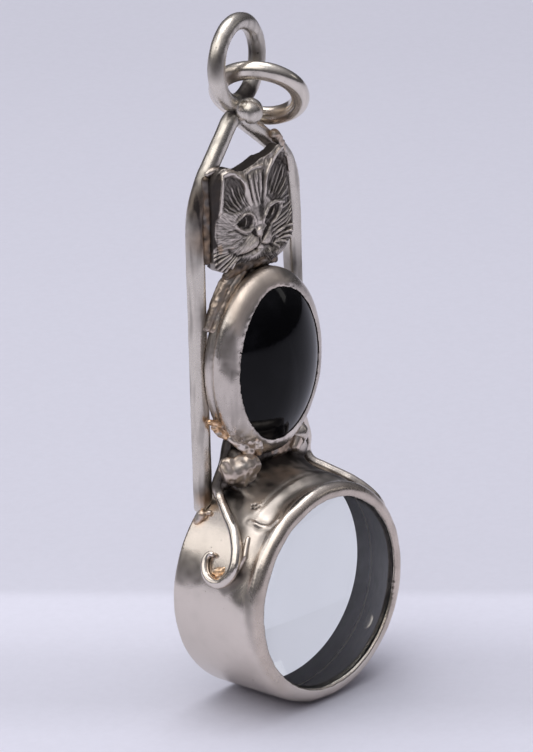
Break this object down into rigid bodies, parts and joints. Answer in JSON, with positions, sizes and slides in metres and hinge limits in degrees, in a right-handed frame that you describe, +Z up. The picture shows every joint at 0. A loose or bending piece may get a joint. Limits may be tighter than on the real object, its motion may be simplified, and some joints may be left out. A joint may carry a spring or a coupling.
{
  "type": "loupe pendant",
  "caption": "Handmade silver pendant: a thick magnifying lens in a round housing under a wire frame with an oval black stone, a cast cat face, side scrolls, a bail and a loose jump ring.",
  "frame": {"origin": "inner top of the bail's hole, where the pendant hangs from a chain or cord", "axes": "+Z up along the hanging pendant, -Y out of the face that shows the lens and the stone, +X to the right as seen from the front"},
  "size_m": [0.031, 0.0196, 0.0894],
  "materials": {
    "wire_silver": "worn polish with dark tarnish",
    "housing_silver": "satin silver, oxidised dark at the top",
    "lens_glass": "clear, with a blackened edge",
    "bezel_silver": "hammered and burnished",
    "black_stone": "polished gloss",
    "cast_silver": "oxidised, with worn bright relief",
    "scroll_silver": "bright polish",
    "ring_silver": "worn polish with dark tarnish"
  },
  "bodies": {
    "pendant": {"wire_frame": "wire_silver", "lens_housing": "housing_silver", "lens": "lens_glass", "bezel": "bezel_silver", "cabochon": "black_stone", "cat_face": "cast_silver", "scroll_left": "scroll_silver", "scroll_right": "scroll_silver"},
    "jump_ring": {"jump_ring": "ring_silver"}
  },
  "joints": [
    {"name": "jump_ring_swing", "type": "hinge", "parent": "pendant", "child": "jump_ring", "pos_m": [0, 0, -0.00403], "axis": [0.2181, -0.9759, 0], "range_deg": [0, 290]}
  ]
}
